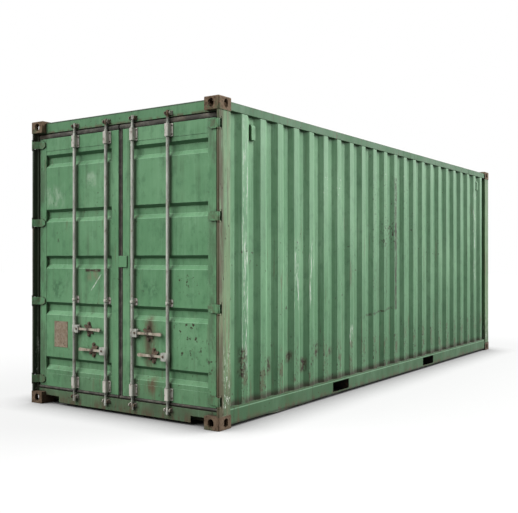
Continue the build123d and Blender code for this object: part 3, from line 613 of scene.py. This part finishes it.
wall_paint = paint(
    "wall_paint", fade=0.35, grime=0.3, rust=0.45, deep=0.3, streaks=0.25, marks=wall_marks, seed=1.0
)
door_paint = paint(
    "door_paint",
    fade=0.25,
    rust=0.45,
    edge=0.7,
    # Pale edges: worn paint and a painted highlight
    edge_tone=GREEN_PALE,
    deep=0.6,
    streaks=0.12,
    marks=door_marks,
    seed=4.0,
)
hinge_paint = paint(
    "hinge_paint",
    grime=0.8,
    rust=0.6,
    edge=1.0,
    edge_tone=RUST_DARK_AND_SHADE,
    deep=0.9,
    marks=hinge_marks,
    seed=4.0,
)
head_paint = paint(
    "head_paint",
    rust=0.5,
    edge=0.9,
    edge_tone=RUST_DARK_AND_SHADE,
    deep=0.7,
    streaks=0.15,
    marks=rail_marks,
    seed=6.0,
)
post_paint = paint(
    "post_paint", grime=0.6, rust=0.5, old=0.5, edge=0.9, deep=0.7, marks=post_marks, seed=7.0
)
rail_paint = paint(
    "rail_paint",
    fade=0.3,
    grime=0.6,
    rust=0.5,
    old=0.12,
    edge=0.9,
    streaks=0.2,
    marks=rail_marks,
    seed=9.0,
)
roof_paint = paint("roof_paint", fade=0.5, grime=0.5, rust=0.7, old=0.4, deep=0.6, seed=12.0)
casting_rust = rusty_casting()
rod_zinc = zinc("rod_zinc", ZINC, ZINC_DARK, 0.45, 2.0)
guide_zinc = zinc("guide_zinc", ZINC_PALE, ZINC, 0.65, 5.0)
catch_rust = zinc("catch_rust", RUST, RUST_DARK_AND_SHADE, 0.8, 6.0)
handle_zinc = zinc("handle_zinc", BONE, RUST_PALE, 0.65, 8.0, handle_marks)
seal = rubber()
ply = plywood()
tar = underbody()
bronze = plate_metal()

# The first word found in a node's name gives its finish and its soft edge, in metres
FINISHES = (
    ("casting", casting_rust, 0.004),
    ("gasket", seal, 0),
    ("floor_boards", ply, 0),
    ("cross_members", tar, 0),
    ("fork_pockets", tar, 0),
    ("retainers", catch_rust, 0.002),
    ("keepers", guide_zinc, 0.003),
    ("guides", guide_zinc, 0.0015),
    ("lock_rod", rod_zinc, 0.002),
    ("handle", handle_zinc, 0.003),
    ("hinge_lugs", post_paint, 0.002),
    ("door_post", post_paint, 0.002),
    ("rear_post", post_paint, 0.005),
    ("door_header", head_paint, 0.004),
    ("door_sill", rail_paint, 0.004),
    ("rear_header", rail_paint, 0.004),
    ("rear_sill", rail_paint, 0.004),
    ("side_rail", rail_paint, 0.004),
    ("roof_panel", roof_paint, 0),
    ("wall", wall_paint, 0),
    ("vents", wall_paint, 0.004),
    ("stiles", door_paint, 0.004),
    ("door_rails", door_paint, 0.003),
    ("hinges", hinge_paint, 0.002),
    ("tab", door_paint, 0.004),
    ("panel", door_paint, 0),
)


WELD_WITHIN = 0.00002
SHARP_ANGLE = 50


def soften(piece, size):
    """Rounds a node's sharp edges with modifiers, leaving its own mesh alone."""
    weld = piece.modifiers.new("weld", "WELD")
    weld.merge_threshold = WELD_WITHIN
    round_off = piece.modifiers.new("soft_edges", "BEVEL")
    round_off.width = size
    round_off.segments = 2
    round_off.limit_method = "ANGLE"
    round_off.angle_limit = math.radians(SHARP_ANGLE)
    round_off.harden_normals = True


for node_name, node_piece in nodes.items():
    finish, soft_edge = next((f, e) for word, f, e in FINISHES if word in node_name)
    node_piece.data.materials.clear()
    node_piece.data.materials.append(finish)
    if soft_edge:
        soften(node_piece, soft_edge)


def new_piece(name, shape, material, body):
    """Turns a bmesh into an object of the scene that rides on a body of the frame."""
    mesh = bpy.data.meshes.new(name)
    shape.to_mesh(mesh)
    shape.free()
    mesh.materials.append(material)
    piece = bpy.data.objects.new(name, mesh)
    bpy.context.scene.collection.objects.link(piece)
    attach(piece, body)


def add_loops(shape, loops):
    """Skins a row of closed loops with quads and caps both ends."""
    for a, b in zip(loops, loops[1:]):
        for i in range(len(a)):
            j = (i + 1) % len(a)
            shape.faces.new((a[i], a[j], b[j], b[i]))
    shape.faces.new(list(reversed(loops[0])))
    shape.faces.new(loops[-1])


# Bolt heads: number of sides, section as shares of radius and height, and share of radius at the flats
BOLT_SIDES = 6
BOLT_SECTION = ((1.5, 0.0), (1.5, 0.2), (1.0, 0.2), (1.0, 0.8), (0.8, 1.0))
BOLT_FLATS = 0.93


def add_bolt(shape, place, radius, tall, out=FRONT):
    """A bolt head on a washer, with a chamfered top that faces the given way."""
    side = out.orthogonal().normalized()
    up = out.cross(side)
    turn = dice.uniform(0, math.pi)
    loops = []
    for wide, rise in BOLT_SECTION:
        loop = []
        for i in range(BOLT_SIDES * 2):
            a = turn + math.pi * i / BOLT_SIDES
            blunt = BOLT_FLATS if wide <= 1.0 and i % 2 else 1.0
            r = wide * radius * blunt
            spot = place + side * r * math.cos(a) + up * r * math.sin(a) + out * tall * rise
            loop.append(shape.verts.new(spot))
        loops.append(loop)
    add_loops(shape, loops)


# Ridges: parts along their length and round their section
RIDGE_PARTS = 40
RIDGE_ROUND = 8


def add_ridge(shape, start, end, across, out, wide, proud, waver):
    """A half-round ridge along a line, such as a seal lip or a weld bead; waver makes it uneven."""
    loops = []
    for k in range(RIDGE_PARTS + 1):
        spot = start.lerp(end, k / RIDGE_PARTS)
        swell = 1 + waver * dice.uniform(-1, 1)
        loop = []
        for i in range(RIDGE_ROUND + 1):
            a = math.pi * i / RIDGE_ROUND
            offset = across * (wide / 2 * math.cos(a)) + out * (proud * swell * math.sin(a))
            loop.append(shape.verts.new(spot + offset))
        loops.append(loop)
    add_loops(shape, loops)


# Rod guides and their pressed covers
GUIDE_PLATE = 0.004
LOW_GUIDE_TALL = 0.112
HIGH_GUIDE_TALL = 0.120
COVER_SHEET = 0.003
COVER_GAP = 0.002
COVER_FLANGE = 0.046
COVER_SEAT = 0.038
COVER_WEB = 0.0235
COVER_BEND = 0.006
guide_low, guide_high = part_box("right_rod_guides")
GUIDE_SPANS = (
    (guide_low.z, guide_low.z + LOW_GUIDE_TALL),
    (guide_high.z - HIGH_GUIDE_TALL, guide_high.z),
)

# Bolt heads of the lock gear, as radius and height, and where they sit
GUIDE_BOLT = (0.005, 0.006)
GUIDE_BOLT_OFF = 0.036
GUIDE_BOLT_INSET = 0.020
SADDLE_BOLT = (0.006, 0.007)
SADDLE_BOLT_OFF = 0.032
SADDLE_Z = 1.080
BOSS_BOLT = (0.007, 0.002)
BOSS_OFF = 0.056
BOSS_PROUD = 0.018
PIVOT_BOLT = (0.008, 0.006)
PIVOT_OFF = 0.044
FORK_FRONT = 0.016


def add_cover(shape, x, axis_y, z0, z1):
    """A pressed hat-section cover over a rod guide, with flanges that reach back to the door."""
    top = leaf_front - axis_y + COVER_WEB
    foot = GUIDE_PLATE + COVER_SHEET
    inner = COVER_WEB - COVER_SHEET
    half = [
        (COVER_WEB - COVER_BEND, top),
        (COVER_WEB, top - COVER_BEND),
        (COVER_WEB, foot + COVER_SHEET),
        (COVER_WEB + COVER_SHEET, foot),
        (COVER_FLANGE, foot),
        (COVER_FLANGE, 0),
        (COVER_SEAT, 0),
        (COVER_SEAT, GUIDE_PLATE),
        (inner, GUIDE_PLATE),
        (inner, top - COVER_SHEET - COVER_BEND),
        (inner - COVER_BEND, top - COVER_SHEET),
    ]
    ring = half + [(-a, out) for a, out in reversed(half)]
    loops = [[shape.verts.new((x + a, leaf_front - out, z)) for a, out in ring] for z in (z0, z1)]
    add_loops(shape, loops)


def lock_gear(side):
    """Guide covers, and the bolts of guides, saddles and handle retainers, on one door."""
    bolts = bmesh.new()
    covers = bmesh.new()
    guide_face = leaf_front - GUIDE_PLATE - COVER_SHEET
    for name in [rod for rod, door in RODS.items() if door == side]:
        x = rod_x(name)
        for z0, z1 in GUIDE_SPANS:
            add_cover(covers, x, rod_y(name), z0 + COVER_GAP, z1 - COVER_GAP)
        for turn in (-1, 1):
            for z0, z1 in GUIDE_SPANS:
                for z in (z0 + GUIDE_BOLT_INSET, z1 - GUIDE_BOLT_INSET):
                    add_bolt(bolts, Vector((x + turn * GUIDE_BOLT_OFF, guide_face, z)), *GUIDE_BOLT)
            saddle = Vector((x + turn * SADDLE_BOLT_OFF, panel_front - GUIDE_PLATE, SADDLE_Z))
            add_bolt(bolts, saddle, *SADDLE_BOLT)
        for rise in (-BOSS_OFF, BOSS_OFF):
            boss_x = x + inward(name) * RETAINER_OFF
            boss = Vector((boss_x, panel_front - BOSS_PROUD, handle_z(name) + rise))
            add_bolt(bolts, boss, *BOSS_BOLT)
    new_piece(side + "_gear_bolts", bolts, catch_rust, side + "_door")
    bmesh.ops.recalc_face_normals(covers, faces=covers.faces)
    new_piece(side + "_guide_covers", covers, guide_zinc, side + "_door")


# Seal lips; the middle ones as x and width
LIP_INSET = 0.003
LIP_GAP = 0.002
LIP_PROUD = 0.012
SEAL_LAP = -0.012
MIDDLE_LIPS = ((-0.008, 0.016), (0.014, 0.022))
MIDDLE_LIP_PROUD = 0.010


def seal_lips(side):
    """Rounded lips along a door's head and foot, and down the middle on the right-hand door."""
    lips = bmesh.new()
    outer = seal_outer - LIP_INSET
    if side == "left":
        start_x = -outer
        end_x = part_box("left_door_stiles")[1].x
    else:
        start_x = SEAL_LAP
        end_x = outer
    for z0, z1 in ((leaf_high, seal_high), (seal_low, leaf_low)):
        start = Vector((start_x, seal_front, (z0 + z1) / 2))
        end = Vector((end_x, seal_front, (z0 + z1) / 2))
        add_ridge(lips, start, end, UP, FRONT, z1 - z0 - LIP_GAP, LIP_PROUD, 0.05)
    if side == "right":
        for x, wide in MIDDLE_LIPS:
            start = Vector((x, seal_front, leaf_low))
            end = Vector((x, seal_front, leaf_high))
            add_ridge(lips, start, end, RIGHT, FRONT, wide, MIDDLE_LIP_PROUD, 0.04)
    new_piece(side + "_seal_lips", lips, seal, side + "_door")


def pivot_head(name):
    """The pin head and washer on a handle's fork."""
    pin = bmesh.new()
    spot = Vector((rod_x(name) + inward(name) * PIVOT_OFF, door_end + FORK_FRONT, handle_z(name)))
    add_bolt(pin, spot, *PIVOT_BOLT)
    new_piece(name + "_pivot_head", pin, catch_rust, name + "_rod")


# Data plate on the left-hand door; its section is given as shares of its size and thickness
PLATE_X = (-0.930, -0.735)
PLATE_Z = (0.589, 0.850)
PLATE_THICK = 0.003
PLATE_SECTION = ((1.0, 0.0), (1.0, 1.0), (0.93, 1.0), (0.92, 0.5))
PLATE_BOLT = (0.004, 0.003)
PLATE_BOLT_SHARE = 0.955


def data_plate():
    """A bare plate with a raised rim and a bolt in each corner."""
    plate = bmesh.new()
    x0, x1 = PLATE_X
    z0, z1 = PLATE_Z
    corners = [Vector((x, panel_front, z)) for x, z in ((x0, z0), (x1, z0), (x1, z1), (x0, z1))]
    middle = (corners[0] + corners[2]) / 2
    loops = []
    for share, rise in PLATE_SECTION:
        lift = FRONT * rise * PLATE_THICK
        loops.append([plate.verts.new(middle.lerp(corner, share) + lift) for corner in corners])
    add_loops(plate, loops)
    for corner in corners:
        spot = middle.lerp(corner, PLATE_BOLT_SHARE) + FRONT * PLATE_THICK
        add_bolt(plate, spot, *PLATE_BOLT)
    new_piece("data_plate", plate, bronze, "left_door")


# Weld beads on the door posts
WELD_START = 0.016
WELD_LONG = 0.158
WELD_WIDE = 0.012
WELD_PROUD = 0.004


def post_welds():
    """Weld beads where the door posts meet the castings."""
    beads = bmesh.new()
    post_low, post_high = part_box("right_door_post")
    for side in (-1, 1):
        for z in (post_low.z, post_high.z):
            start = Vector((side * post_high.x, door_end + WELD_START, z))
            end = start + Vector((0, WELD_LONG, 0))
            add_ridge(beads, start, end, UP, RIGHT * side, WELD_WIDE, WELD_PROUD, 0.3)
    new_piece("post_welds", beads, post_paint, "frame")


# Floor screws; the head as radius and height
SCREW = (0.005, 0.0015)
SCREW_ROWS = 23
SCREWS_ACROSS = 14
SCREW_MARGIN = 0.15
SCREW_STRAY = 0.006


def floor_screws():
    """Rows of screws that hold the floor boards to the cross members."""
    screws = bmesh.new()
    boards_low, boards_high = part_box("floor_boards")
    first = boards_low.y + SCREW_MARGIN
    pitch = (boards_high.y - SCREW_MARGIN - first) / (SCREW_ROWS - 1)
    spacing = (boards_high.x - boards_low.x) / SCREWS_ACROSS
    for row in range(SCREW_ROWS):
        for k in range(SCREWS_ACROSS):
            x = boards_low.x + (k + 0.5) * spacing + dice.uniform(-SCREW_STRAY, SCREW_STRAY)
            y = first + row * pitch + dice.uniform(-SCREW_STRAY, SCREW_STRAY)
            add_bolt(screws, Vector((x, y, boards_high.z)), *SCREW, UP)
    new_piece("floor_screws", screws, rod_zinc, "frame")


# Bent lip of the near bottom rail, from the door end
BENT_START = 0.75
BENT_END = 1.60
BENT_DROP = 0.014
BENT_SWING = 0.004
BENT_THICK = 0.003
BENT_INSET = 0.004
BENT_PARTS = 40


def bent_rail_lip():
    """A bent lip that hangs from the near bottom rail."""
    lip = bmesh.new()
    loops = []
    through = RIGHT * -BENT_THICK
    for k in range(BENT_PARTS + 1):
        share = k / BENT_PARTS
        y = door_end + BENT_START + share * (BENT_END - BENT_START)
        sag = BENT_DROP * math.sin(math.pi * share) * (0.75 + 0.25 * math.sin(9 * share))
        swing = BENT_SWING * math.sin(7 * share)
        top = Vector((rail_side - BENT_INSET, y, rail_foot + BENT_INSET))
        foot = Vector((rail_side - BENT_INSET + swing, y, rail_foot - sag))
        loops.append([lip.verts.new(p) for p in (top, foot, foot + through, top + through)])
    add_loops(lip, loops)
    new_piece("bent_rail_lip", lip, rail_paint, "frame")


for door_side in ("left", "right"):
    lock_gear(door_side)
    seal_lips(door_side)
for rod_name in RODS:
    pivot_head(rod_name)
data_plate()
post_welds()
floor_screws()
bent_rail_lip()

# Camera at the photograph's station, and the studio floor's half width
CAMERA_PLACE = (5.2179, -8.9170, 1.4845)
CAMERA_TURN = (math.pi / 2 + 0.0028, 0, 0.598)
CAMERA_LENS = 53.483
FLOOR_HALF = 60
eye = bpy.data.cameras.new("eye")
eye.lens = CAMERA_LENS
eye.sensor_width = 36
eye.clip_end = 200
camera = bpy.data.objects.new("camera", eye)
camera.location = CAMERA_PLACE
camera.rotation_euler = CAMERA_TURN
bpy.context.scene.collection.objects.link(camera)
bpy.context.scene.camera = camera


def floor_white():
    """Glows white where it is seen, with a painted shadow near the container; to other light it is
    grey.
    """
    s = Shader("pale_floor")
    s.surface.inputs["Base Color"].default_value = FLOOR_GREY
    s.surface.inputs["Roughness"].default_value = 0.9
    s.surface.inputs["Specular IOR Level"].default_value = 0.1
    s.surface.inputs["Emission Color"].default_value = WHITE
    # Painted contact shadow: the glow dims where the container is near
    open_sky = s.add("ShaderNodeAmbientOcclusion", samples=8)
    open_sky.inputs["Distance"].default_value = 0.5
    glow = s.add("ShaderNodeMapRange")
    glow.inputs["From Min"].default_value = 0.25
    glow.inputs["To Max"].default_value = 0.76
    s.link(open_sky.outputs["AO"], glow.inputs["Value"])
    s.link(glow.outputs["Result"], s.surface.inputs["Emission Strength"])
    dim = s.add("ShaderNodeBsdfDiffuse")
    dim.inputs["Color"].default_value = FLOOR_DIM
    seen = s.add("ShaderNodeLightPath")
    choose = s.add("ShaderNodeMixShader")
    s.link(seen.outputs["Is Camera Ray"], choose.inputs["Fac"])
    s.link(dim.outputs[0], choose.inputs[1])
    s.link(s.surface.outputs[0], choose.inputs[2])
    s.link(choose.outputs[0], s.tree.nodes["Material Output"].inputs["Surface"])
    return s.material


def studio_floor():
    """A wide floor under the container, which isn't part of it."""
    ground = bmesh.new()
    bmesh.ops.create_grid(ground, x_segments=1, y_segments=1, size=FLOOR_HALF)
    mesh = bpy.data.meshes.new("floor")
    ground.to_mesh(mesh)
    ground.free()
    mesh.materials.append(floor_white())
    floor = bpy.data.objects.new("floor", mesh)
    floor.location.z = ground_z
    bpy.context.scene.collection.objects.link(floor)


def soft_sun(name, toward, spread, power):
    """A sun in the given direction, as wide as spread in degrees."""
    lamp = bpy.data.lights.new(name, "SUN")
    lamp.angle = math.radians(spread)
    lamp.energy = power
    sun = bpy.data.objects.new(name, lamp)
    sun.rotation_euler = Vector(toward).to_track_quat("Z", "Y").to_euler()
    bpy.context.scene.collection.objects.link(sun)


def studio_sky():
    """White where it is seen; as a light it is brightest overhead."""
    world = bpy.data.worlds.new("studio")
    world.use_nodes = True
    tree = world.node_tree
    sky = tree.nodes["Background"]
    sky.inputs["Color"].default_value = WHITE
    place = tree.nodes.new("ShaderNodeTexCoord")
    split = tree.nodes.new("ShaderNodeSeparateXYZ")
    dome = tree.nodes.new("ShaderNodeMapRange")
    dome.inputs["From Min"].default_value = -0.1
    dome.inputs["From Max"].default_value = 0.9
    dome.inputs["To Min"].default_value = 0.12
    dome.inputs["To Max"].default_value = 0.45
    seen = tree.nodes.new("ShaderNodeLightPath")
    level = tree.nodes.new("ShaderNodeMath")
    level.operation = "MAXIMUM"
    tree.links.new(place.outputs["Generated"], split.inputs[0])
    tree.links.new(split.outputs["Z"], dome.inputs["Value"])
    tree.links.new(dome.outputs["Result"], level.inputs[0])
    tree.links.new(seen.outputs["Is Camera Ray"], level.inputs[1])
    tree.links.new(level.outputs[0], sky.inputs["Strength"])
    bpy.context.scene.world = world


studio_floor()
soft_sun("key_light", (0.53, 0.70, 0.48), 45, 5.8)
soft_sun("door_light", (-0.42, -0.62, 0.66), 55, 4.1)
studio_sky()
bpy.context.scene.view_settings.view_transform = "Standard"
